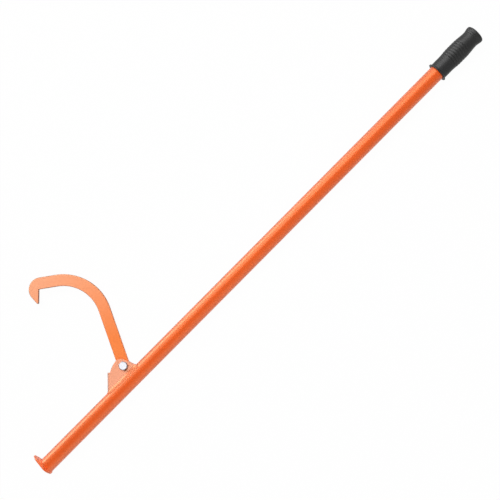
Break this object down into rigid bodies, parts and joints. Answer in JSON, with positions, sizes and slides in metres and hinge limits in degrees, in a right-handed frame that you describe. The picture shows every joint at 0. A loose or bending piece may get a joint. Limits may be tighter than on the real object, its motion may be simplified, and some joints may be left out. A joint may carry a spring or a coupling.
{
  "type": "felling lever",
  "caption": "Steel tube lever with a pointed toe plate, a rubber grip and a hook that swings on a bolt in a welded bracket, for turning logs.",
  "frame": {"origin": "centre of the tube on the toe plate's outer face", "axes": "+X up the tube towards the grip, +Y from the tube towards the hook, +Z along the pivot bolt towards its head"},
  "size_m": [1.242, 0.3083, 0.0471],
  "materials": {
    "orange_paint": "semi-gloss orange powder coat",
    "hook_paint": "semi-gloss orange powder coat, a little paler",
    "zinc_plating": "bright zinc plating",
    "nylon": "natural nylon",
    "black_rubber": "matt black moulded rubber"
  },
  "bodies": {
    "handle": {"handle_tube": "orange_paint", "toe_plate": "orange_paint", "toe_plate_weld": "orange_paint", "pivot_bracket": "hook_paint", "bracket_weld": "orange_paint", "pivot_bolt": "zinc_plating", "lock_nut": "zinc_plating", "lock_nut_ring": "nylon", "handle_grip": "black_rubber"},
    "hook": {"hook": "hook_paint"}
  },
  "joints": [
    {"name": "hook_swing", "type": "hinge", "parent": "handle", "child": "hook", "pos_m": [0.2587, 0.0316, 0], "axis": [0, 0, 1], "range_deg": [-65, 72]}
  ]
}
